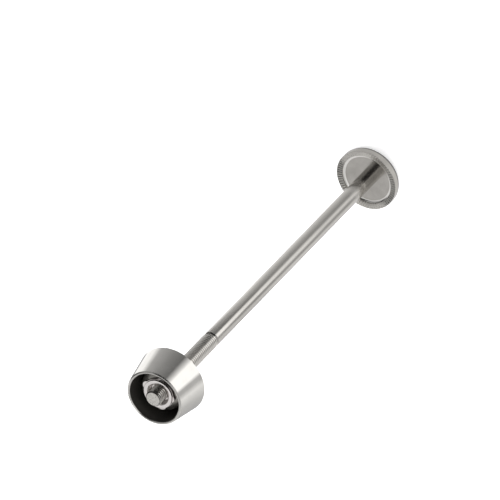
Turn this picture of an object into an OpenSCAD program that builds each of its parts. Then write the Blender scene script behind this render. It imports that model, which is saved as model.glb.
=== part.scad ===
// Locking wheel skewer: a rod with a toothed clamp head, a cone-shaped cup and a coded lock nut.
// It stands on its head: Z = 0 is the flat back of the head, and the rod's axis is +Z.

/* [Rod] */
// Diameter of the plain shank
shank_d = 4.9; // [4.2:0.1:6]
// Outside diameter of the thread
thread_d = 5.0; // [4.6:0.1:6.2]
// Length of the thread, from the tip down to the run-out groove
thread_l = 33.4; // [28:0.1:60]
// Width of the run-out groove's floor, where the thread ends
neck_l = 0.4; // [0.2:0.1:4]
// Depth of the run-out groove below the shank
neck_depth = 0.45; // [0.1:0.05:0.6]
// Chamfer round the tip
tip_chamfer = 0.35; // [0.1:0.05:0.8]
// How far the tip stands out of the cup's rim
tip_stand = 0.45; // [0:0.05:2]
// Diameter of the spigot that is pressed through the head
spigot_d = 4.2; // [3:0.1:4.6]
// How far the spigot's end stays inside the head's back face
spigot_recess = 0.15; // [0.05:0.05:0.5]
// Length of rod between the head's clamp edge and the cup's clamp face
grip_l = 115.3; // [80:0.1:150]

/* [Head] */
// Outside diameter of the head
head_d = 19.5; // [17:0.1:24]
// Thickness of the head at its rim
head_h = 4.0; // [3.4:0.1:7]
// Round edge at the back of the head
head_edge_r = 2.3; // [0.6:0.1:2.3]
// Inside diameter of the toothed ring
ring_in_d = 16.1; // [12:0.1:16.5]
// How far the toothed ring dips from its outer edge to its inner edge
ring_dip = 0.3; // [0.1:0.05:0.6]
// Depth of the smooth floor below the clamp edge
dish_depth = 1.1; // [1:0.1:2.2]
// Width of the rounded cove round the floor
cove_w = 1.0; // [0.4:0.05:1.6]
// Height of the rounded cove round the floor
cove_h = 0.32; // [0.1:0.02:0.5]
// Width of the plain bevel on the clamp edge
edge_bevel = 0.12; // [0.05:0.01:0.4]

/* [Clamp teeth] */
// Number of teeth round the head's ring
head_teeth = 72; // [36:4:96]
// Number of teeth round the cup's clamp ring
cup_teeth = 72; // [36:4:96]
// Width of one groove between teeth, at the surface
groove_w = 0.56; // [0.3:0.02:0.6]
// Depth of one groove at the ring's inner edge
groove_depth = 0.26; // [0.1:0.02:0.4]
// Angle by which a groove runs deeper towards its outer end
groove_taper = 2.5; // [0:0.5:4]

/* [Cup] */
// Height of the cup along the rod
cup_h = 11.1; // [9.6:0.1:14]
// Outside diameter at the narrow, open rim
cup_rim_d = 17.6; // [17.2:0.1:20]
// Outside diameter at the wide clamp end
cup_base_d = 21.2; // [20:0.1:26]
// Diameter of the bore round the nut
cup_bore_d = 16.4; // [15:0.1:16.7]
// Thickness of the cup's floor
cup_floor = 2.8; // [2:0.1:3.4]
// Round edge between the floor and the bore
cup_corner_r = 0.6; // [0.2:0.1:1]
// Bevel on the edges of the open rim
rim_bevel = 0.12; // [0.04:0.01:0.18]
// Chamfer on the edge of the wide end
base_chamfer = 0.3; // [0.1:0.05:0.6]
// Inside diameter of the cup's toothed clamp ring
cup_ring_in_d = 15.4; // [12:0.1:17]
// How far the middle of the clamp face is hollowed out
cup_relief = 0.45; // [0.2:0.05:0.8]

/* [Lock nut] */
// Depth of the nut's face below the cup's rim
nut_sink = 2.2; // [1.2:0.1:3]
// Outside diameter of the nut's raised boss
boss_d = 9.3; // [8.6:0.1:10]
// Height of the boss above the coded collar
boss_h = 0.55; // [0.3:0.05:1]
// Diameter of the coded collar between its lobes
collar_d = 9.5; // [9:0.1:10.2]
// Height of the coded collar
collar_h = 1.1; // [0.8:0.1:1.4]
// Diameter of the round skirt that bears on the cup's floor
skirt_d = 12.9; // [11.8:0.1:13.6]
// Height of the skirt's straight edge
skirt_edge = 2.6; // [1.4:0.1:2.8]
// Diameter of the dark recess round the tip
recess_d = 6.1; // [5.6:0.1:6.6]
// Depth of the recess from the nut's face
recess_depth = 2.0; // [1:0.1:3]
// Width of the countersink at the recess's mouth
countersink = 0.75; // [0.3:0.05:0.9]
// Chamfer on the nut's edges
nut_chamfer = 0.2; // [0.1:0.05:0.4]

/* [Fits] */
// Radial running gap between the nut and the thread
thread_gap = 0.03; // [0.02:0.01:0.08]
// Radial gap between the cup's hole and the thread
slide_gap = 0.09; // [0.04:0.01:0.1]
// Gap under the nut, where it bears on the cup's floor
seat_gap = 0.02; // [0.01:0.01:0.1]

/* [Hidden] */
$fn = 96;

steel = [0.72, 0.71, 0.69];
satin_steel = [0.66, 0.65, 0.63];
bright_steel = [0.78, 0.77, 0.75];

// Small overlap that keeps cuts clean
eps = 0.05;

// Heights along the rod, from the head's back face up
floor_z = head_h - dish_depth;
cup_z = head_h + grip_l;
rim_z = cup_z + cup_h;
tip_z = rim_z + tip_stand;
neck_top_z = tip_z - thread_l;
neck_z = neck_top_z - neck_l;
nut_z = cup_z + cup_floor + seat_gap;
nut_face_z = rim_z - nut_sink;
nut_h = nut_face_z - nut_z;

// Radii used in several places
shank_r = shank_d / 2;
thread_r = thread_d / 2;
neck_r = shank_r - neck_depth;
spigot_r = spigot_d / 2;
head_r = head_d / 2;
ring_in_r = ring_in_d / 2;
boss_r = boss_d / 2;
collar_r = collar_d / 2;
skirt_r = skirt_d / 2;
recess_r = recess_d / 2;
cup_bore_r = cup_bore_d / 2;
collar_top_z = nut_h - boss_h;
collar_low_z = collar_top_z - collar_h;

// The code: direction, reach past the collar and radius of each lobe
lobes = [[15, 0.72, 1.5], [72, 0.4, 1.3], [136, 0.6, 1.8], [207, 0.35, 1.4], [298, 0.5, 1.6]];

// Points of a quarter circle round (x, y) from one angle to another
function arc(x, y, r, from, to, steps = 12) =
    [for (i = [0:steps]) let (a = from + (to - from) * i / steps) [x + r * cos(a), y + r * sin(a)]];

// Points of a smooth cove that comes down by h over the width w and ends flat at (x, y)
function cove(x, y, w, h, steps = 10) =
    [for (i = [0:steps]) let (t = 1 - i / steps) [x + w * t, y + h * t * t]];

// V grooves that leave radial teeth on a ring which climbs outwards from in_r to out_r.
// Each groove gets a little deeper and wider towards its outer end, and runs on by overrun.
module tooth_grooves(count, in_r, out_r, in_z, out_z, overrun) {
    run = out_r - in_r;
    slope = atan((out_z - in_z) / run);
    reach = groove_w + run / cos(slope) + overrun;
    for (i = [0:count - 1])
        rotate([0, 0, i * 360 / count])
            translate([in_r, 0, in_z])
                rotate([0, groove_taper - slope, 0])
                    translate([-groove_w, 0, 0])
                        rotate([90, 0, 90])
                            linear_extrude(reach)
                                polygon([[-groove_w, groove_depth], [0, -groove_depth], [groove_w, groove_depth]]);
}

// Rod: spigot, plain shank, run-out groove and thread, turned as one profile
module skewer_rod() {
    step = shank_r - neck_r;
    color(steel)
        rotate_extrude()
            polygon([
                [0, spigot_recess],
                [spigot_r, spigot_recess],
                [spigot_r, floor_z],
                [shank_r, floor_z],
                [shank_r, neck_z - step],
                [neck_r, neck_z],
                [neck_r, neck_top_z],
                [thread_r, neck_top_z + thread_r - neck_r],
                [thread_r, tip_z - tip_chamfer],
                [thread_r - tip_chamfer, tip_z],
                [0, tip_z]
            ]);
}

// Head: turned disc with a smooth dished floor inside the ring of teeth
module head() {
    color(satin_steel)
        difference() {
            rotate_extrude()
                polygon(concat(
                    [[spigot_r, 0]],
                    arc(head_r - head_edge_r, head_edge_r, head_edge_r, -90, 0),
                    [[head_r, head_h - edge_bevel],
                     [head_r - edge_bevel, head_h],
                     [ring_in_r, head_h - ring_dip],
                     [ring_in_r, floor_z + cove_h]],
                    cove(ring_in_r - edge_bevel - cove_w, floor_z, cove_w, cove_h),
                    [[spigot_r, floor_z]]
                ));
            tooth_grooves(head_teeth, ring_in_r, head_r, head_h - ring_dip, head_h, groove_w);
        }
}

// Cup: cone outside, straight bore inside, toothed clamp ring underneath
module cup() {
    rim_r = cup_rim_d / 2;
    base_r = cup_base_d / 2;
    hole_r = thread_r + slide_gap;
    relief_r = cup_ring_in_d / 2;
    tooth_out_r = base_r - base_chamfer - edge_bevel;
    color(bright_steel)
        translate([0, 0, cup_z])
            difference() {
                rotate_extrude()
                    polygon(concat(
                        [[hole_r, cup_relief],
                         [relief_r - cup_relief, cup_relief],
                         [relief_r, 0],
                         [base_r - base_chamfer, 0],
                         [base_r, base_chamfer],
                         [rim_r, cup_h - rim_bevel],
                         [rim_r - rim_bevel, cup_h],
                         [cup_bore_r + rim_bevel, cup_h],
                         [cup_bore_r, cup_h - rim_bevel]],
                        arc(cup_bore_r - cup_corner_r, cup_floor + cup_corner_r, cup_corner_r, 0, -90, 8),
                        [[hole_r, cup_floor]]
                    ));
                mirror([0, 0, 1])
                    tooth_grooves(cup_teeth, relief_r, tooth_out_r, 0, 0, 0);
            }
}

// The lobed outline that only the matching key fits over
module code_outline() {
    circle(r = collar_r);
    for (lobe = lobes)
        rotate([0, 0, lobe[0]])
            translate([collar_r + lobe[1] - lobe[2], 0])
                circle(r = lobe[2]);
}

// Lock nut: raised boss, coded collar, conical skirt, threaded bore and countersunk recess
module lock_nut() {
    bore_r = thread_r + thread_gap;
    color(bright_steel)
        translate([0, 0, nut_z])
            difference() {
                union() {
                    rotate_extrude()
                        polygon([
                            [0, 0],
                            [skirt_r - nut_chamfer, 0],
                            [skirt_r, nut_chamfer],
                            [skirt_r, skirt_edge - nut_chamfer],
                            [skirt_r - nut_chamfer, skirt_edge],
                            [boss_r, collar_low_z + eps],
                            [boss_r, nut_h - nut_chamfer],
                            [boss_r - nut_chamfer, nut_h],
                            [0, nut_h]
                        ]);
                    translate([0, 0, collar_low_z - collar_h])
                        linear_extrude(2 * collar_h)
                            code_outline();
                }
                translate([0, 0, -eps])
                    cylinder(r = bore_r, h = nut_h + 2 * eps);
                translate([0, 0, nut_h - recess_depth])
                    cylinder(r = recess_r, h = recess_depth + eps);
                translate([0, 0, nut_h - countersink])
                    cylinder(r1 = recess_r, r2 = recess_r + countersink + eps, h = countersink + eps);
            }
}

skewer_rod();
head();
cup();
lock_nut();
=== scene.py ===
import math

import bmesh
import bpy
from bpy.props import FloatProperty, FloatVectorProperty, IntProperty, PointerProperty
from mathutils import Matrix, Vector


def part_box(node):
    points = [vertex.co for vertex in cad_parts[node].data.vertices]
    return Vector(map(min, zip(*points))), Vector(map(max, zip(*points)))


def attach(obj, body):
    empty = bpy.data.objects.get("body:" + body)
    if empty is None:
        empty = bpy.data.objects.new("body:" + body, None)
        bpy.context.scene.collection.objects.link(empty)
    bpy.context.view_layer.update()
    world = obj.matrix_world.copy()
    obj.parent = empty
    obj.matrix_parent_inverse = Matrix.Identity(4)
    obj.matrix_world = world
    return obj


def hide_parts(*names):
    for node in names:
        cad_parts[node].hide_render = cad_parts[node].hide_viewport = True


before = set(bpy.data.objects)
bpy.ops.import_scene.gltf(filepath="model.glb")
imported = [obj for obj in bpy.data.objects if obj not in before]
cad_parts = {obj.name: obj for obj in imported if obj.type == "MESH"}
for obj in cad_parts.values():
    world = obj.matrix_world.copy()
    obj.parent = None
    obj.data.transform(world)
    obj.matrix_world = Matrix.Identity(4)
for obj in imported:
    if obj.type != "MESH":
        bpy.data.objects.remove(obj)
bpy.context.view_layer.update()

bl_info = {
    "name": "Locking wheel skewer",
    "version": (1, 0, 0),
    "blender": (4, 5, 0),
    "location": "View3D > Sidebar > Skewer",
    "description": "Builds the finished rod, head, cup and lock nut of a wheel skewer, and its studio",
    "category": "Add Mesh",
}

MM = 0.001
FULL_TURN = 2 * math.pi

# Places that the packed solids give, in metres
ROD_LOW, ROD_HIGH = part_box("skewer_rod")
HEAD_LOW, HEAD_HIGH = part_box("head")
CUP_LOW, CUP_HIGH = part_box("cup")
NUT_LOW, NUT_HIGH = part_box("lock_nut")

# How much an edge of a turned part is broken, how near counts as touching, and how near vertices are welded
BREAK = 0.05 * MM
NEAR = 0.01 * MM
WELD = 0.001 * MM

# Plain strip that the cup's base keeps between its teeth and its chamfer
TOOTH_MARGIN = 0.12 * MM

# Steps of one full turn: round bar, steps for each tooth of a clamp ring, coded nut, thread
BAR_STEPS = 128
STEPS_PER_TOOTH = 6
NUT_STEPS = 360
THREAD_STEPS = 64

# Shares of the thread's pitch that its crest and its root take, and the slope of its flanks
CREST_SHARE = 0.52
ROOT_SHARE = 0.1
FLANK_ANGLE = math.radians(30)

# Direction in degrees, reach past the collar and radius of each lobe of the code, in millimetres
CODE_LOBES = ((15, 0.72, 1.5), (72, 0.4, 1.3), (136, 0.6, 1.8), (207, 0.35, 1.4), (298, 0.5, 1.6))


def linear(hex_colour):
    """Turns an sRGB hex colour into linear RGBA."""
    channels = [int(hex_colour[i:i + 2], 16) / 255 for i in (0, 2, 4)]
    return [c / 12.92 if c <= 0.04045 else ((c + 0.055) / 1.055) ** 2.4 for c in channels] + [1.0]


# Settings

class RodSettings(bpy.types.PropertyGroup):
    """Sizes of the rod, beside those that the frame gives"""

    shank_radius: FloatProperty(name="Shank radius", description="Radius of the plain shank",
                                default=2.45 * MM, unit="LENGTH", precision=5)
    spigot_radius: FloatProperty(name="Spigot radius", description="Radius of the end pressed into the head",
                                 default=2.1 * MM, unit="LENGTH", precision=5)
    thread_length: FloatProperty(name="Thread length", description="From the tip to the run-out groove",
                                 default=33.4 * MM, unit="LENGTH", precision=5)
    groove_width: FloatProperty(name="Groove width", description="Width of the run-out groove's floor",
                                default=0.4 * MM, unit="LENGTH", precision=5)
    groove_depth: FloatProperty(name="Groove depth", description="Depth of the groove below the shank",
                                default=0.45 * MM, unit="LENGTH", precision=5)
    tip_chamfer: FloatProperty(name="Tip chamfer", description="Chamfer round the threaded tip",
                               default=0.35 * MM, unit="LENGTH", precision=5)
    pitch: FloatProperty(name="Thread pitch", description="Rise of the thread in one turn",
                         default=0.8 * MM, unit="LENGTH", precision=5)


class HeadSettings(bpy.types.PropertyGroup):
    """Sizes of the head, beside those that the frame gives"""

    edge_round: FloatProperty(name="Back edge round", description="Radius of the round edge at the back",
                              default=2.3 * MM, unit="LENGTH", precision=5)
    ring_inner_radius: FloatProperty(name="Ring inner radius", description="Inner radius of the toothed ring",
                                     default=8.05 * MM, unit="LENGTH", precision=5)
    ring_dip: FloatProperty(name="Ring dip", description="How far the toothed ring dips inwards",
                            default=0.3 * MM, unit="LENGTH", precision=5)
    dish_depth: FloatProperty(name="Dish depth", description="Depth of the smooth floor",
                              default=1.1 * MM, unit="LENGTH", precision=5)
    cove_width: FloatProperty(name="Cove width", description="Width of the cove round the floor",
                              default=0.8 * MM, unit="LENGTH", precision=5)
    cove_height: FloatProperty(name="Cove height", description="Height of the cove round the floor",
                               default=0.32 * MM, unit="LENGTH", precision=5)


class TeethSettings(bpy.types.PropertyGroup):
    """Sizes of the radial teeth on both clamp rings"""

    count: IntProperty(name="Teeth", description="Number of teeth round each ring",
                       default=72, min=36, max=96)
    width: FloatProperty(name="Groove width", description="Width of a groove at the ring's inner edge",
                         default=0.46 * MM, unit="LENGTH", precision=5)
    depth: FloatProperty(name="Groove depth", description="Depth of a groove at the ring's inner edge",
                         default=0.22 * MM, unit="LENGTH", precision=5)
    taper: FloatProperty(name="Groove taper", description="Angle by which a groove deepens outwards",
                         default=math.radians(2.5), subtype="ANGLE")


class CupSettings(bpy.types.PropertyGroup):
    """Sizes of the cup, beside those that the frame gives"""

    rim_radius: FloatProperty(name="Rim radius", description="Outer radius of the open rim",
                              default=8.8 * MM, unit="LENGTH", precision=5)
    bore_radius: FloatProperty(name="Bore radius", description="Radius of the bore round the nut",
                               default=8.0 * MM, unit="LENGTH", precision=5)
    hole_radius: FloatProperty(name="Hole radius", description="Radius of the hole that slides on the rod",
                               default=2.59 * MM, unit="LENGTH", precision=5)
    floor: FloatProperty(name="Floor", description="Thickness of the cup's floor",
                         default=2.8 * MM, unit="LENGTH", precision=5)
    corner_round: FloatProperty(name="Inner corner", description="Round between floor and bore",
                                default=0.6 * MM, unit="LENGTH", precision=5)
    rim_chamfer: FloatProperty(name="Rim chamfer", description="Chamfer on the outer edge of the rim",
                               default=0.3 * MM, unit="LENGTH", precision=5)
    countersink: FloatProperty(name="Countersink", description="Width of the bevel inside the rim",
                               default=0.26 * MM, unit="LENGTH", precision=5)
    base_chamfer: FloatProperty(name="Base chamfer", description="Chamfer on the edge of the wide end",
                                default=0.3 * MM, unit="LENGTH", precision=5)
    ring_inner_radius: FloatProperty(name="Ring inner radius", description="Inner radius of the clamp ring",
                                     default=7.7 * MM, unit="LENGTH", precision=5)
    relief: FloatProperty(name="Relief", description="How far the middle of the clamp face is hollowed",
                          default=0.45 * MM, unit="LENGTH", precision=5)


class NutSettings(bpy.types.PropertyGroup):
    """Sizes of the lock nut, beside those that the frame gives"""

    boss_radius: FloatProperty(name="Boss radius", description="Radius of the raised boss",
                               default=4.65 * MM, unit="LENGTH", precision=5)
    boss_height: FloatProperty(name="Boss height", description="Height of the boss over the collar",
                               default=0.7 * MM, unit="LENGTH", precision=5)
    collar_radius: FloatProperty(name="Collar radius", description="Radius of the collar between its lobes",
                                 default=4.75 * MM, unit="LENGTH", precision=5)
    collar_height: FloatProperty(name="Collar height", description="Height of the coded collar",
                                 default=0.95 * MM, unit="LENGTH", precision=5)
    skirt_edge: FloatProperty(name="Skirt edge", description="Height of the skirt's straight edge",
                              default=4.0 * MM, unit="LENGTH", precision=5)
    recess_radius: FloatProperty(name="Recess radius", description="Radius of the recess round the tip",
                                 default=3.05 * MM, unit="LENGTH", precision=5)
    recess_depth: FloatProperty(name="Recess depth", description="Depth of the recess",
                                default=2.0 * MM, unit="LENGTH", precision=5)
    countersink: FloatProperty(name="Countersink", description="Width of the countersink",
                               default=0.55 * MM, unit="LENGTH", precision=5)
    bore_radius: FloatProperty(name="Bore radius", description="Radius of the bore over the thread",
                               default=2.53 * MM, unit="LENGTH", precision=5)
    chamfer: FloatProperty(name="Chamfer", description="Chamfer on the nut's edges",
                           default=0.2 * MM, unit="LENGTH", precision=5)


class FinishSettings(bpy.types.PropertyGroup):
    """Colours of the steel finishes; each one wanders between a darker and a lighter tone"""

    bar_dark: FloatVectorProperty(name="Bar, dark", description="Darker tone of the drawn bar",
                                  default=linear("BDBAB5"), subtype="COLOR", size=4)
    bar_light: FloatVectorProperty(name="Bar, light", description="Lighter tone of the drawn bar",
                                   default=linear("CDCAC5"), subtype="COLOR", size=4)
    # Painted shade: the thread's roots are coloured dark because shade falls between the crests
    thread_root_painted_shade: FloatVectorProperty(name="Thread root", description="Oily root of the rolled thread",
                                     default=linear("3A3630"), subtype="COLOR", size=4)
    thread_crest: FloatVectorProperty(name="Thread crest", description="Burnished crest of the rolled thread",
                                      default=linear("CFCCC7"), subtype="COLOR", size=4)
    tip_dark: FloatVectorProperty(name="Tip, dark", description="Darker tone of the rod's faced tip",
                                  default=linear("A6A39E"), subtype="COLOR", size=4)
    tip_light: FloatVectorProperty(name="Tip, light", description="Lighter tone of the rod's faced tip",
                                   default=linear("F0EDE8"), subtype="COLOR", size=4)
    head_dark: FloatVectorProperty(name="Head, dark", description="Darker tone of the satin head",
                                   default=linear("A5A29D"), subtype="COLOR", size=4)
    head_light: FloatVectorProperty(name="Head, light", description="Lighter tone of the satin head",
                                    default=linear("C6C3BE"), subtype="COLOR", size=4)
    # Painted highlight: the cove's tones are much lighter than the head's steel, so that the cove shows as a
    # light line
    cove_highlight_dark: FloatVectorProperty(name="Cove, dark", description="Darker tone of the polished cove",
                                   default=linear("DEDCD8"), subtype="COLOR", size=4)
    cove_highlight_light: FloatVectorProperty(name="Cove, light", description="Lighter tone of the polished cove",
                                    default=linear("EEECE8"), subtype="COLOR", size=4)
    teeth_dark: FloatVectorProperty(name="Teeth, dark", description="Darker tone of the pressed teeth",
                                    default=linear("BEBBB6"), subtype="COLOR", size=4)
    teeth_light: FloatVectorProperty(name="Teeth, light", description="Lighter tone of the pressed teeth",
                                     default=linear("DEDBD6"), subtype="COLOR", size=4)
    cone_dark: FloatVectorProperty(name="Cone, dark", description="Darker tone of the cup's polished cone",
                                   default=linear("C4C2BE"), subtype="COLOR", size=4)
    cone_light: FloatVectorProperty(name="Cone, light", description="Lighter tone of the cup's polished cone",
                                    default=linear("D2D0CC"), subtype="COLOR", size=4)
    rim_light: FloatVectorProperty(name="Rim, light", description="Lighter tone of the cup's satin rim",
                                   default=linear("D6D4D0"), subtype="COLOR", size=4)
    # The bore's tones: dark and not metallic, much darker than the steel outside
    bore_dark: FloatVectorProperty(name="Bore, dark", description="Darker tone of the blackened bore",
                                   default=linear("161514"), subtype="COLOR", size=4)
    bore_light: FloatVectorProperty(name="Bore, light", description="Lighter tone of the blackened bore",
                                    default=linear("2B2926"), subtype="COLOR", size=4)
    nut_dark: FloatVectorProperty(name="Nut, dark", description="Darker tone of the bright nut",
                                  default=linear("E4DFDD"), subtype="COLOR", size=4)
    nut_light: FloatVectorProperty(name="Nut, light", description="Lighter tone of the bright nut",
                                   default=linear("F2EDEB"), subtype="COLOR", size=4)
    # Painted shade: the skirt's tones are darker because the bore round it shades it; its rougher finish is
    # real
    skirt_shade_dark: FloatVectorProperty(name="Skirt, dark", description="Darker tone of the nut's dull skirt",
                                    default=linear("8C8A85"), subtype="COLOR", size=4)
    skirt_shade_light: FloatVectorProperty(name="Skirt, light", description="Lighter tone of the nut's dull skirt",
                                     default=linear("A8A59F"), subtype="COLOR", size=4)


# Mesh tools

def chain(bm, corners, closed=False):
    """Draws corners (radius, height, rounding, segments) as a chain in the XZ plane, and rounds each one.

    A corner without a rounding stays sharp, and one without segments gets three.
    """
    verts = [bm.verts.new((corner[0], 0, corner[1])) for corner in corners]
    for first, second in zip(verts, verts[1:]):
        bm.edges.new((first, second))
    if closed:
        bm.edges.new((verts[-1], verts[0]))
    for vert, corner in zip(verts, corners):
        rounding, segments = (*corner[2:], 3)[:2] if len(corner) > 2 else (0, 0)
        if rounding > 0:
            bmesh.ops.bevel(bm, geom=[vert], offset=rounding, offset_type="OFFSET", segments=segments,
                            profile=0.5, affect="VERTICES", material=-1)


def spin_full(bm, steps):
    """Turns everything in the mesh once round Z and welds the seam and the poles."""
    bmesh.ops.spin(bm, geom=bm.verts[:] + bm.edges[:], axis=(0, 0, 1), cent=(0, 0, 0), dvec=(0, 0, 0),
                   angle=FULL_TURN, steps=steps, use_merge=True)
    bmesh.ops.remove_doubles(bm, verts=bm.verts[:], dist=WELD)


def from_axis(point):
    """Distance of a point from the Z axis."""
    return math.hypot(point.x, point.y)


def set_radius(vert, radius):
    """Moves a vertex in or out to a radius, at the same angle and height."""
    old = from_axis(vert.co)
    vert.co.x *= radius / old
    vert.co.y *= radius / old


def finish_mesh(bm, name, materials, body, node, sharp_angle=30):
    """Turns a mesh into a piece that stands for a CAD node: normals out, smooth with sharp corners kept."""
    bmesh.ops.recalc_face_normals(bm, faces=bm.faces[:])
    for face in bm.faces:
        face.smooth = True
    limit = math.radians(sharp_angle)
    for edge in bm.edges:
        if len(edge.link_faces) == 2 and edge.calc_face_angle() > limit:
            edge.smooth = False
    mesh = bpy.data.meshes.new(name)
    bm.to_mesh(mesh)
    bm.free()
    piece = bpy.data.objects.new(name, mesh)
    bpy.context.scene.collection.objects.link(piece)
    for material in materials:
        mesh.materials.append(material)
    weighted = piece.modifiers.new("face_weighted_normals", "WEIGHTED_NORMAL")
    weighted.keep_sharp = True
    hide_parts(node)
    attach(piece, body)


def cut_teeth(bm, teeth, inner, outer, inner_z, outer_z, facing):
    """Presses V grooves into a ring between two radii: every vertex above a groove's floor drops to it.

    Facing is 1 for a ring that looks up and -1 for one that looks down.
    """
    slope = (outer_z - inner_z) / (outer - inner)
    fall = math.tan(teeth.taper)
    for vert in bm.verts:
        radius = from_axis(vert.co)
        if radius < inner - 2 * NEAR or radius > outer + 2 * NEAR:
            continue
        phase = math.atan2(vert.co.y, vert.co.x) * teeth.count / FULL_TURN
        across = abs(phase - round(phase)) * FULL_TURN * radius / teeth.count
        floor = inner_z + slope * (radius - inner) - facing * (radius - inner) * fall
        surface = floor - facing * teeth.depth * (1 - across / (teeth.width / 2))
        if facing > 0:
            vert.co.z = min(vert.co.z, surface)
        elif vert.co.z < outer_z + 2 * NEAR:
            vert.co.z = max(vert.co.z, surface)


# Material tools

def add(tree, kind, inputs=None, **settings):
    """Adds one node, with its settings, and sets or links its inputs."""
    node = tree.nodes.new(kind)
    for key, value in settings.items():
        setattr(node, key, value)
    for key, value in (inputs or {}).items():
        if isinstance(value, bpy.types.NodeSocket):
            tree.links.new(value, node.inputs[key])
        else:
            node.inputs[key].default_value = value
    return node


def empty_material(name):
    """A material without nodes; returns it and its node tree."""
    material = bpy.data.materials.new(name)
    material.use_nodes = True
    material.node_tree.nodes.clear()
    return material, material.node_tree


def new_material(name):
    """A material with a Principled shader; returns it, its node tree and the shader."""
    material, tree = empty_material(name)
    shader = add(tree, "ShaderNodeBsdfPrincipled")
    add(tree, "ShaderNodeOutputMaterial", {"Surface": shader.outputs["BSDF"]})
    return material, tree, shader


def only_glow(tree, colour, strength):
    """Makes a material do nothing but glow, in a colour or in what a socket gives."""
    glow = add(tree, "ShaderNodeEmission", {"Color": colour, "Strength": strength})
    add(tree, "ShaderNodeOutputMaterial", {"Surface": glow.outputs["Emission"]})


def millimetres(tree, stretch=(1, 1, 1)):
    """Object coordinates in millimetres, stretched along each axis."""
    coordinates = add(tree, "ShaderNodeTexCoord")
    scale = [1 / MM / s for s in stretch]
    scaled = add(tree, "ShaderNodeMapping", {"Vector": coordinates.outputs["Object"], "Scale": scale})
    return scaled.outputs["Vector"]


def round_coordinates(tree):
    """(radius, 0, height) in millimetres, so that a pattern on it runs in rings round Z."""
    split = add(tree, "ShaderNodeSeparateXYZ", {"Vector": millimetres(tree)})
    flat = add(tree, "ShaderNodeCombineXYZ", {"X": split.outputs["X"], "Y": split.outputs["Y"]})
    radius = add(tree, "ShaderNodeVectorMath", {0: flat.outputs["Vector"]}, operation="LENGTH")
    rings = add(tree, "ShaderNodeCombineXYZ", {"X": radius.outputs["Value"], "Z": split.outputs["Z"]})
    return rings.outputs["Vector"]


def noise(tree, vector, size_mm, detail=2.0):
    """Noise whose features are about size_mm across on coordinates in millimetres."""
    texture = add(tree, "ShaderNodeTexNoise", {"Vector": vector, "Scale": 1 / size_mm, "Detail": detail})
    return texture.outputs["Fac"]


def remap(tree, value, low, high, to_low, to_high):
    """Maps a value from one range to another and clamps it."""
    return add(tree, "ShaderNodeMapRange", {"Value": value, "From Min": low, "From Max": high,
                                            "To Min": to_low, "To Max": to_high}).outputs["Result"]


def bump(tree, height, depth_mm):
    """A bump whose full height is depth_mm."""
    return add(tree, "ShaderNodeBump", {"Height": height, "Distance": depth_mm * MM}).outputs["Normal"]


def paint(tree, shader, factor, dark, light, roughness, normal):
    """Gives a shader a colour between two tones, a roughness and a surface relief."""
    mix = add(tree, "ShaderNodeMix", {"Factor": factor, 6: dark, 7: light}, data_type="RGBA")
    tree.links.new(mix.outputs[2], shader.inputs["Base Color"])
    tree.links.new(roughness, shader.inputs["Roughness"])
    tree.links.new(normal, shader.inputs["Normal"])


# Materials

def drawn_steel(finish):
    """Drawn and polished stainless bar: long faint lines along it, which pull highlights into streaks."""
    material, tree, shader = new_material("drawn_stainless_steel")
    # Real die lines are some 0.05 mm wide; here they are 0.35 mm, the finest that the render can show
    lines = noise(tree, millimetres(tree, (1, 1, 40)), 0.35, 3.0)
    haze = noise(tree, millimetres(tree, (1, 1, 3)), 2.2, 3.0)
    shader.inputs["Metallic"].default_value = 1.0
    paint(tree, shader, haze, finish.bar_dark, finish.bar_light,
          remap(tree, lines, 0.3, 0.7, 0.17, 0.26), bump(tree, lines, 0.004))
    return material


def rolled_thread_steel(finish):
    """Rolled thread: bright burnished crests, and rougher roots painted dark as shade that falls between the
    crests.
    """
    material, tree, shader = new_material("rolled_thread_steel")
    rings = round_coordinates(tree)
    radius = add(tree, "ShaderNodeSeparateXYZ", {"Vector": rings}).outputs["X"]
    # The root lies at 2.24 mm from the axis, and the painted shade ends halfway up the flank
    crest = remap(tree, radius, 2.24, 2.36, 0.0, 1.0)
    grain = noise(tree, millimetres(tree), 0.25, 2.0)
    shader.inputs["Metallic"].default_value = 1.0
    # Crests keep the steel's tone; roots get the painted shade
    paint(tree, shader, crest, finish.thread_root_painted_shade, finish.thread_crest,
          remap(tree, crest, 0.0, 1.0, 0.36, 0.16), bump(tree, grain, 0.004))
    return material


def turned_steel(name, dark, light, rough_low, rough_high, mark_mm, mark_depth, patch_mm=3.5):
    """Stainless steel turned on a lathe: fine rings round the axis, which spread a highlight across them.

    Real turning marks are 0.05 to 0.1 mm apart; mark_mm is coarser, so that the render can show them.
    """
    material, tree, shader = new_material(name)
    marks = noise(tree, round_coordinates(tree), mark_mm, 2.0)
    haze = noise(tree, millimetres(tree), patch_mm, 4.0)
    shader.inputs["Metallic"].default_value = 1.0
    paint(tree, shader, haze, dark, light,
          remap(tree, haze, 0.3, 0.7, rough_low, rough_high), bump(tree, marks, mark_depth))
    return material


def pressed_teeth_steel(finish):
    """Teeth pressed cold into steel: a slightly grainy skin, duller than the turned faces beside it."""
    material, tree, shader = new_material("pressed_tooth_steel")
    grain = noise(tree, millimetres(tree), 0.22, 3.0)
    shader.inputs["Metallic"].default_value = 1.0
    paint(tree, shader, grain, finish.teeth_dark, finish.teeth_light,
          remap(tree, grain, 0.3, 0.7, 0.2, 0.34), bump(tree, grain, 0.008))
    return material


def dark_bore_steel(finish):
    """Dark bore: a dark surface with only a dull sheen, not metallic, much darker than the steel outside."""
    material, tree, shader = new_material("dark_bore_steel")
    grain = noise(tree, millimetres(tree), 0.4, 3.0)
    paint(tree, shader, grain, finish.bore_dark, finish.bore_light,
          remap(tree, grain, 0.3, 0.7, 0.32, 0.5), bump(tree, grain, 0.01))
    return material


# Pieces

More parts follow.
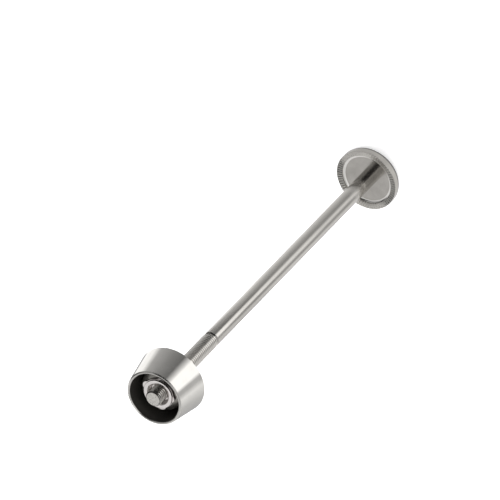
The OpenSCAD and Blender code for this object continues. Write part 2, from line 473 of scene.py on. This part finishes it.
class SKEWER_OT_rod(bpy.types.Operator):
    """Builds the rod with its rolled thread"""

    bl_idname = "skewer.rod"
    bl_label = "Rod"

    def execute(self, context):
        size = context.scene.skewer_rod
        finish = context.scene.skewer_finish
        tip = ROD_HIGH[2]
        crest = ROD_HIGH[0]
        spigot_end = ROD_LOW[2]
        shoulder = HEAD_HIGH[2] - context.scene.skewer_head.dish_depth
        groove_top = tip - size.thread_length
        groove_bottom = groove_top - size.groove_width
        groove_radius = size.shank_radius - size.groove_depth
        soft = 1.6 * BREAK
        bm = bmesh.new()
        chain(bm, [
            (0, spigot_end), (size.spigot_radius, spigot_end, soft), (size.spigot_radius, shoulder),
            (size.shank_radius, shoulder), (size.shank_radius, groove_bottom - size.groove_depth, soft),
            (groove_radius, groove_bottom, soft), (groove_radius, groove_top),
        ])
        spin_full(bm, BAR_STEPS)
        self.add_thread(bm, size, crest, groove_top, groove_radius, tip)
        # Faced and lightly blasted tip: small pale mottles
        tip_steel = turned_steel("faced_tip_steel", finish.tip_dark, finish.tip_light,
                                 0.24, 0.42, 0.4, 0.012, 0.5)
        finish_mesh(bm, "finished_rod", [drawn_steel(finish), rolled_thread_steel(finish), tip_steel],
                    "rod_and_head", "skewer_rod", 40)
        return {"FINISHED"}

    def add_thread(self, shank, size, crest, bottom, groove_radius, tip):
        """Makes the thread between two heights, closes its tip and joins it to the shank's open end."""
        bm = bmesh.new()
        self.wind_thread(bm, size, crest, bottom - size.pitch)
        for height, keep in ((bottom, {"clear_inner": True}), (tip, {"clear_outer": True})):
            bmesh.ops.bisect_plane(bm, geom=bm.verts[:] + bm.edges[:] + bm.faces[:], plane_co=(0, 0, height),
                                   plane_no=(0, 0, 1), dist=WELD, **keep)
        for vert in bm.verts:
            chamfers = min(groove_radius + vert.co.z - bottom, crest - size.tip_chamfer + tip - vert.co.z)
            set_radius(vert, min(from_axis(vert.co), chamfers))
        for face in bm.faces:
            face.material_index = 1
        at_tip = [e for e in bm.edges if e.is_boundary and all(abs(v.co.z - tip) < 2 * WELD for v in e.verts)]
        for face in bmesh.ops.holes_fill(bm, edges=at_tip, sides=0)["faces"]:
            face.material_index = 2
        mesh = bpy.data.meshes.new("thread")
        bm.to_mesh(mesh)
        bm.free()
        shank.from_mesh(mesh)
        bpy.data.meshes.remove(mesh)
        bmesh.ops.bridge_loops(shank, edges=[e for e in shank.edges if e.is_boundary])

    def wind_thread(self, bm, size, crest, start):
        """Winds one turn of the thread's profile up from a height, and doubles it until it is long enough."""
        turns = math.ceil(size.thread_length / size.pitch) + 2
        crest_w = size.pitch * CREST_SHARE
        root_w = size.pitch * ROOT_SHARE
        flank_w = (size.pitch - crest_w - root_w) / 2
        root = crest - flank_w / math.tan(FLANK_ANGLE)
        soft = 1.2 * BREAK
        chain(bm, [
            (root, start), (root, start + root_w / 2, soft, 2),
            (crest, start + root_w / 2 + flank_w, soft, 2),
            (crest, start + root_w / 2 + flank_w + crest_w, soft, 2),
            (root, start + size.pitch - root_w / 2, soft, 2), (root, start + size.pitch),
        ])
        bmesh.ops.spin(bm, geom=bm.verts[:] + bm.edges[:], axis=(0, 0, 1), cent=(0, 0, 0),
                       dvec=(0, 0, size.pitch / THREAD_STEPS), angle=FULL_TURN, steps=THREAD_STEPS,
                       use_merge=False)
        wound = 1
        while wound < turns:
            copy = bmesh.ops.duplicate(bm, geom=bm.verts[:] + bm.edges[:] + bm.faces[:])["geom"]
            raised = [part for part in copy if isinstance(part, bmesh.types.BMVert)]
            bmesh.ops.translate(bm, verts=raised, vec=(0, 0, wound * size.pitch))
            wound *= 2
        bmesh.ops.remove_doubles(bm, verts=bm.verts[:], dist=WELD)


class SKEWER_OT_head(bpy.types.Operator):
    """Builds the head with its ring of teeth and its smooth dished floor"""

    bl_idname = "skewer.head"
    bl_label = "Head"

    def execute(self, context):
        size = context.scene.skewer_head
        teeth = context.scene.skewer_teeth
        finish = context.scene.skewer_finish
        hole = context.scene.skewer_rod.spigot_radius
        radius = HEAD_HIGH[0]
        bottom, top = HEAD_LOW[2], HEAD_HIGH[2]
        inner = size.ring_inner_radius
        floor = top - size.dish_depth
        cove_top = floor + size.cove_height
        ring_foot = top - size.ring_dip
        bm = bmesh.new()
        chain(bm, [
            (hole, bottom), (radius, bottom, size.edge_round, 10), (radius, top, 2 * BREAK, 3),
            (inner, ring_foot, 1.2 * BREAK, 2), (inner, cove_top, BREAK, 2),
            (inner - size.cove_width / 2, floor, size.cove_width / 2, 6), (hole, floor),
        ], closed=True)
        spin_full(bm, teeth.count * STEPS_PER_TOOTH)
        cut_teeth(bm, teeth, inner, radius, ring_foot, top, 1)
        for face in bm.faces:
            centre = face.calc_center_median()
            away = from_axis(centre)
            if inner - BREAK < away < radius - 0.6 * BREAK and centre.z > cove_top:
                face.material_index = 1
            # Cove faces get the painted highlight
            elif inner - size.cove_width < away < inner and centre.z > floor + NEAR / 2:
                face.material_index = 2
        # Satin floor and outside, which mirror the rod softly
        satin = turned_steel("satin_turned_steel", finish.head_dark, finish.head_light, 0.12, 0.2, 0.3, 0.003)
        # Cove coloured much lighter than the head, a painted highlight that shows as a light line round the
        # floor
        polished = turned_steel("cove_steel_painted_highlight", finish.cove_highlight_dark, finish.cove_highlight_light,
                                0.14, 0.22, 0.3, 0.002)
        finish_mesh(bm, "finished_head", [satin, pressed_teeth_steel(finish), polished],
                    "rod_and_head", "head")
        return {"FINISHED"}


class SKEWER_OT_cup(bpy.types.Operator):
    """Builds the cup: polished cone, dark bore and toothed clamp face"""

    bl_idname = "skewer.cup"
    bl_label = "Cup"

    def execute(self, context):
        size = context.scene.skewer_cup
        teeth = context.scene.skewer_teeth
        finish = context.scene.skewer_finish
        base = CUP_HIGH[0]
        low, high = CUP_LOW[2], CUP_HIGH[2]
        floor = low + size.floor
        bore_top = high - 0.8 * size.countersink
        tooth_outer = base - size.base_chamfer - TOOTH_MARGIN
        bm = bmesh.new()
        chain(bm, [
            (size.hole_radius, low + size.relief), (size.ring_inner_radius - size.relief, low + size.relief),
            (size.ring_inner_radius, low), (tooth_outer, low), (base - size.base_chamfer, low),
            (base, low + size.base_chamfer, 1.6 * BREAK), (size.rim_radius, high, size.rim_chamfer, 1),
            (size.bore_radius + size.countersink, high, 0.6 * BREAK),
            (size.bore_radius, bore_top, 0.6 * BREAK), (size.bore_radius, floor, size.corner_round, 6),
            (size.hole_radius, floor, 2 * BREAK),
        ], closed=True)
        spin_full(bm, teeth.count * STEPS_PER_TOOTH)
        cut_teeth(bm, teeth, size.ring_inner_radius, tooth_outer - BREAK, low, low, -1)
        for face in bm.faces:
            centre = face.calc_center_median()
            away = from_axis(centre)
            if away < size.bore_radius + NEAR and floor - 4 * BREAK < centre.z < bore_top:
                face.material_index = 1
            elif size.ring_inner_radius < away < tooth_outer and centre.z < low + 4 * BREAK:
                face.material_index = 2
            elif centre.z > high - size.rim_chamfer:
                face.material_index = 3
        # Cone polished on the lathe: it mirrors its surroundings in clear straight bands
        polished = turned_steel("polished_turned_steel", finish.cone_dark, finish.cone_light,
                                0.07, 0.12, 0.25, 0.001)
        # Rim left satin: an even light line between the cone and the black bore
        rim = turned_steel("satin_rim_steel", finish.cone_dark, finish.rim_light, 0.24, 0.34, 0.25, 0.003)
        finish_mesh(bm, "finished_cup", [polished, dark_bore_steel(finish), pressed_teeth_steel(finish), rim],
                    "cup_body", "cup")
        return {"FINISHED"}


class SKEWER_OT_nut(bpy.types.Operator):
    """Builds the lock nut: raised boss, coded collar, round skirt and countersunk recess"""

    bl_idname = "skewer.nut"
    bl_label = "Lock nut"

    def execute(self, context):
        size = context.scene.skewer_nut
        finish = context.scene.skewer_finish
        low, high = NUT_LOW[2], NUT_HIGH[2]
        skirt = NUT_HIGH[0]
        collar_top = high - size.boss_height
        collar_low = collar_top - size.collar_height
        skirt_top = low + size.skirt_edge
        recess_floor = high - size.recess_depth
        bm = bmesh.new()
        chain(bm, [
            (size.bore_radius, low, BREAK), (skirt, low, size.chamfer), (skirt, skirt_top, size.chamfer),
            (size.collar_radius, collar_low), (size.collar_radius, collar_top),
            (size.boss_radius, collar_top), (size.boss_radius, high, size.chamfer),
            (size.recess_radius + size.countersink, high, 1.2 * BREAK),
            (size.recess_radius, high - size.countersink, 1.2 * BREAK),
            (size.recess_radius, recess_floor, 2 * BREAK), (size.bore_radius, recess_floor, BREAK),
        ], closed=True)
        spin_full(bm, NUT_STEPS)
        self.shape_code(bm, size, skirt, skirt_top, collar_low)
        # Faces of the skirt get the tones with painted shade
        for face in bm.faces:
            centre = face.calc_center_median()
            if centre.z < collar_low and from_axis(centre) > size.recess_radius:
                face.material_index = 1
        # Bright nut: fine turned face, the lightest steel inside the cup
        bright = turned_steel("bright_turned_steel", finish.nut_dark, finish.nut_light,
                              0.14, 0.24, 0.22, 0.004)
        # Skirt left as turned: duller, and coloured darker as painted shade from the bore round it
        dull = turned_steel("dull_skirt_steel_with_painted_shade", finish.skirt_shade_dark, finish.skirt_shade_light, 0.26, 0.38, 0.3, 0.004)
        finish_mesh(bm, "finished_nut", [bright, dull], "nut_body", "lock_nut")
        return {"FINISHED"}

    def shape_code(self, bm, size, skirt, skirt_top, collar_low):
        """Pushes the collar's wall out to the lobes of the code, and its foot down the skirt's slope."""
        slope = (collar_low - skirt_top) / (skirt - size.chamfer - size.boss_radius)
        for vert in bm.verts:
            if abs(from_axis(vert.co) - size.collar_radius) > NEAR or vert.co.z <= collar_low - NEAR:
                continue
            angle = math.atan2(vert.co.y, vert.co.x)
            reach = max([size.collar_radius] + [self.lobe_reach(size, angle, lobe) for lobe in CODE_LOBES])
            if vert.co.z < collar_low + NEAR:
                vert.co.z = collar_low - slope * (reach - size.boss_radius)
            set_radius(vert, reach)

    def lobe_reach(self, size, angle, lobe):
        """How far a lobe reaches from the axis in one direction, or 0 where that direction misses it."""
        direction, reach, radius = math.radians(lobe[0]), lobe[1] * MM, lobe[2] * MM
        centre = size.collar_radius + reach - radius
        aside = centre * math.sin(angle - direction)
        ahead = centre * math.cos(angle - direction)
        if abs(aside) >= radius or ahead <= 0:
            return 0
        return ahead + math.sqrt(radius ** 2 - aside ** 2)


# Stage

# The photograph's frame: pixels a side, pixels to a millimetre, and a long lens that sees from far away
PIXELS = 500
PIXELS_PER_MM = 3.5
LENS = 900.0
SENSOR = 36.0
# Angle between the rod and the line of sight, and where the cup's rim and the rod's axis lie in the frame
AXIS_TO_VIEW = math.radians(44)
RIM_PIXEL = Vector((153.8, 398.5))
AXIS_IN_FRAME = Vector((0.69918, -0.71495))

# Soft lights: name, direction from the skewer's middle, size in metres and power in watts
LIGHTS = (
    ("key_light", (0.5, 0.75, 0.75), 0.5, 9),
    ("fill_light", (-0.8, 0.4, 0.7), 0.6, 6),
    ("front_light", (-0.2, -0.8, 0.8), 0.6, 5),
)
LIGHT_DISTANCE = 0.9
SKEWER_MIDDLE = Vector((0, 0, 0.07))

# Reflector rings on the table: name, inner and outer radius in mm, and stops (angle, tone).
# Angles are in degrees round Z from the camera's side. The rod mirrors each height in its own ring.
RING_CARDS = (
    # Painted shadow: a dark disc under the head, seen only in the steel, that stands in for the table's
    # contact shadow
    ("card_under_head", 0.5, 10.2, ((-180, 0.08), (180, 0.08))),
    ("card_by_head", 10.2, 15, (
        (-180, 0.4), (-100, 0.4), (-60, 0.36), (0, 0.4), (30, 0.5), (90, 0.46), (180, 0.4))),
    ("card_for_low_shank", 15, 38, (
        (-180, 0.3), (-150, 0.5), (-112, 0.44), (-76, 0.36), (-52, 0.28), (-26, 0.2), (-10, 0.23), (2, 0.4),
        (12, 0.52), (28, 0.5), (40, 0.32), (54, 0.2), (70, 0.32), (88, 0.48), (115, 0.44), (145, 0.32),
        (180, 0.12))),
    ("card_for_mid_shank", 38, 66, (
        (-180, 0.3), (-150, 0.55), (-112, 0.5), (-76, 0.36), (-52, 0.27), (-26, 0.2), (-10, 0.23), (2, 0.46),
        (12, 0.6), (30, 0.6), (42, 0.42), (54, 0.2), (68, 0.26), (86, 0.5), (115, 0.46), (145, 0.34),
        (180, 0.12))),
    ("card_for_high_shank", 66, 94, (
        (-180, 0.3), (-150, 0.6), (-112, 0.6), (-96, 0.44), (-60, 0.36), (-40, 0.26), (-8, 0.14), (4, 0.56),
        (12, 0.64), (34, 0.64), (44, 0.18), (60, 0.16), (78, 0.42), (110, 0.42), (140, 0.3), (180, 0.12))),
    ("card_for_thread", 94, 113, (
        (-180, 0.15), (-150, 0.4), (-112, 0.3), (-92, 0.06), (-6, 0.03), (6, 1.0), (34, 1.0), (44, 0.4),
        (52, 0.3), (66, 0.3), (80, 0.44), (150, 0.4), (180, 0.15))),
    ("card_for_cup", 113, 400, (
        (-180, 0.15), (-152, 0.22), (-142, 0.72), (-112, 0.72), (-92, 0.3), (-50, 0.18), (-18, 0.11),
        (-3, 0.5), (4, 0.85), (38, 0.85), (47, 0.34), (57, 0.34), (74, 0.6), (110, 0.38), (150, 0.26),
        (180, 0.1))),
)
RING_STRENGTH = 2.0
RING_HEIGHT = 0.05 * MM
RING_STEPS = 96

# Curved flags round the skewer: name, start and end angle round Z, low and high angle over the table, tone
FLAGS = (
    ("dark_flag", -70, 5, 12, 80, 0.04),
    ("low_dark_flag", -140, -70, 12, 38, 0.04),
    ("left_card", -140, -74, 38, 62, 0.4),
    ("left_dark_flag", -140, -70, 62, 80, 0.04),
    ("rim_flag", 5, 45, 52, 68, 0.04),
    ("grey_flag", 20, 95, 12, 66, 0.55),
    ("back_flag", 110, 220, 30, 62, 0.75),
    ("overhead_card", 5, 60, 68, 89, 2.6),
)
FLAG_RADIUS = 0.4
FLAG_ROWS = 12
FLAG_COLUMNS = 24

TABLE_HALF = 1.5


def camera_matrix():
    """The camera's place, from the rod's direction in the frame and the pixel of the cup's rim."""
    sine, cosine = math.sin(AXIS_TO_VIEW), math.cos(AXIS_TO_VIEW)
    back = Vector((0, -sine, cosine))
    along = Vector((0, -cosine, -sine))
    across = Vector((-1, 0, 0))
    right = AXIS_IN_FRAME.x * along - AXIS_IN_FRAME.y * across
    up = -AXIS_IN_FRAME.y * along - AXIS_IN_FRAME.x * across
    offset = (Vector((PIXELS / 2, PIXELS / 2)) - RIM_PIXEL) / PIXELS_PER_MM * MM
    target = Vector((0, 0, CUP_HIGH[2])) + right * offset.x - up * offset.y
    distance = PIXELS / PIXELS_PER_MM * MM * LENS / SENSOR
    turn = Matrix((right, up, back)).transposed().to_4x4()
    return Matrix.Translation(target + back * distance) @ turn


def area_light(name, direction, size, power):
    """A square soft light that looks at the skewer's middle and that the steel doesn't mirror."""
    light = bpy.data.lights.new(name, "AREA")
    light.shape = "SQUARE"
    light.size = size
    light.energy = power
    lamp = bpy.data.objects.new(name, light)
    way = Vector(direction).normalized()
    turn = way.to_track_quat("Z", "Y").to_matrix().to_4x4()
    lamp.matrix_world = Matrix.Translation(SKEWER_MIDDLE + way * LIGHT_DISTANCE) @ turn
    lamp.visible_glossy = False
    bpy.context.scene.collection.objects.link(lamp)


def white_to_lens(tree, shader, strength):
    """Adds white for camera, glossy and transmission rays, so that the background shows and mirrors white."""
    rays = add(tree, "ShaderNodeLightPath")
    seen = add(tree, "ShaderNodeMath", {0: rays.outputs["Is Camera Ray"], 1: rays.outputs["Is Glossy Ray"]},
               operation="MAXIMUM")
    seen = add(tree, "ShaderNodeMath", {0: seen.outputs[0], 1: rays.outputs["Is Transmission Ray"]},
               operation="MAXIMUM")
    level = add(tree, "ShaderNodeMath", {0: seen.outputs[0], 1: strength}, operation="MULTIPLY")
    glow = add(tree, "ShaderNodeEmission", {"Color": (1, 1, 1, 1), "Strength": level.outputs[0]})
    return add(tree, "ShaderNodeAddShader", {0: shader, 1: glow.outputs["Emission"]}).outputs["Shader"]


def grey(tone):
    """A grey colour of a linear tone."""
    return (tone, tone, tone, 1)


class SKEWER_OT_stage(bpy.types.Operator):
    """Sets up the pale table, the reflector cards, the lights, the world and the camera"""

    bl_idname = "skewer.stage"
    bl_label = "Stage"

    def execute(self, context):
        self.table()
        for card in RING_CARDS:
            self.ring_card(*card)
        for card in FLAGS:
            self.flag(*card)
        self.world(context)
        for light in LIGHTS:
            area_light(*light)
        camera = bpy.data.cameras.new("camera")
        camera.lens = LENS
        camera.sensor_width = SENSOR
        lens = bpy.data.objects.new("camera", camera)
        lens.matrix_world = camera_matrix()
        context.scene.collection.objects.link(lens)
        context.scene.camera = lens
        context.scene.view_settings.view_transform = "Standard"
        return {"FINISHED"}

    def table(self):
        """A pale table that shows white and keeps the shadow."""
        bm = bmesh.new()
        bmesh.ops.create_grid(bm, x_segments=1, y_segments=1, size=TABLE_HALF)
        material, tree, shader = new_material("pale_table")
        shader.inputs["Base Color"].default_value = linear("C8C8C8")
        shader.inputs["Roughness"].default_value = 0.9
        shader.inputs["Specular IOR Level"].default_value = 0.0
        output = tree.nodes["Material Output"]
        tree.links.new(white_to_lens(tree, shader.outputs["BSDF"], 0.5), output.inputs["Surface"])
        self.place("table", bm, material)

    def ring_card(self, name, inner, outer, stops):
        """A flat ring on the table whose tone changes round Z."""
        bm = bmesh.new()
        chain(bm, [(inner * MM, RING_HEIGHT), (outer * MM, RING_HEIGHT)])
        spin_full(bm, RING_STEPS)
        bmesh.ops.recalc_face_normals(bm, faces=bm.faces[:])
        material, tree = empty_material(name)
        place = add(tree, "ShaderNodeTexCoord").outputs["Object"]
        turn = add(tree, "ShaderNodeMapping", {"Vector": place, "Scale": (-1, 1, 1),
                                               "Rotation": (0, 0, math.radians(90))})
        angle = add(tree, "ShaderNodeTexGradient", {"Vector": turn.outputs["Vector"]}, gradient_type="RADIAL")
        tones = add(tree, "ShaderNodeValToRGB", {"Fac": angle.outputs["Fac"]})
        elements = tones.color_ramp.elements
        while len(elements) < len(stops):
            elements.new(0.5)
        for element, (azimuth, tone) in zip(elements, stops):
            element.position = (azimuth + 180) / 360
            element.color = grey(tone)
        only_glow(tree, tones.outputs["Color"], RING_STRENGTH)
        self.mirror_only(self.place(name, bm, material))

    def flag(self, name, start, end, low, high, tone):
        """A curved card of one tone round the skewer."""
        bm = bmesh.new()
        heights = [math.radians(low + (high - low) * i / FLAG_ROWS) for i in range(FLAG_ROWS + 1)]
        chain(bm, [(FLAG_RADIUS * math.cos(height), FLAG_RADIUS * math.sin(height)) for height in heights])
        bmesh.ops.rotate(bm, verts=bm.verts[:], cent=(0, 0, 0),
                         matrix=Matrix.Rotation(math.radians(-90 - end), 3, "Z"))
        bmesh.ops.spin(bm, geom=bm.verts[:] + bm.edges[:], axis=(0, 0, 1), cent=(0, 0, 0), dvec=(0, 0, 0),
                       angle=math.radians(end - start), steps=FLAG_COLUMNS, use_merge=False)
        material, tree = empty_material(name)
        only_glow(tree, grey(tone), 1.0)
        self.mirror_only(self.place(name, bm, material))

    def mirror_only(self, card):
        """Leaves a card to be seen in the steel alone."""
        card.visible_camera = False
        card.visible_diffuse = False
        card.visible_shadow = False

    def place(self, name, bm, material):
        """Makes a stage object from a mesh."""
        mesh = bpy.data.meshes.new(name)
        bm.to_mesh(mesh)
        bm.free()
        mesh.materials.append(material)
        thing = bpy.data.objects.new(name, mesh)
        bpy.context.scene.collection.objects.link(thing)
        return thing

    def world(self, context):
        """An even white surround."""
        world = bpy.data.worlds.new("white_surround")
        context.scene.world = world
        world.use_nodes = True
        tree = world.node_tree
        tree.nodes.clear()
        plain = add(tree, "ShaderNodeBackground", {"Color": (1, 1, 1, 1), "Strength": 0.55})
        add(tree, "ShaderNodeOutputWorld", {"Surface": white_to_lens(tree, plain.outputs["Background"], 0.3)})


class SKEWER_PT_panel(bpy.types.Panel):
    """Lists the skewer's pieces, sizes and colours in the sidebar"""

    bl_idname = "SKEWER_PT_panel"
    bl_label = "Locking wheel skewer"
    bl_space_type = "VIEW_3D"
    bl_region_type = "UI"
    bl_category = "Skewer"

    def draw(self, context):
        for operator in BUILDERS:
            self.layout.operator(operator.bl_idname)
        for name, group in SETTINGS.items():
            box = self.layout.box()
            box.label(text=group.__doc__)
            for key in group.__annotations__:
                box.prop(getattr(context.scene, name), key)


SETTINGS = {"skewer_rod": RodSettings, "skewer_head": HeadSettings, "skewer_teeth": TeethSettings,
            "skewer_cup": CupSettings, "skewer_nut": NutSettings, "skewer_finish": FinishSettings}
BUILDERS = (SKEWER_OT_stage, SKEWER_OT_rod, SKEWER_OT_head, SKEWER_OT_cup, SKEWER_OT_nut)
CLASSES = (*SETTINGS.values(), *BUILDERS, SKEWER_PT_panel)


def register():
    for cls in CLASSES:
        bpy.utils.register_class(cls)
    for name, group in SETTINGS.items():
        setattr(bpy.types.Scene, name, PointerProperty(type=group))


def unregister():
    for name in SETTINGS:
        delattr(bpy.types.Scene, name)
    for cls in reversed(CLASSES):
        bpy.utils.unregister_class(cls)


def main():
    register()
    bpy.ops.skewer.stage()
    bpy.ops.skewer.rod()
    bpy.ops.skewer.head()
    bpy.ops.skewer.cup()
    bpy.ops.skewer.nut()


if __name__ == "__main__":
    main()
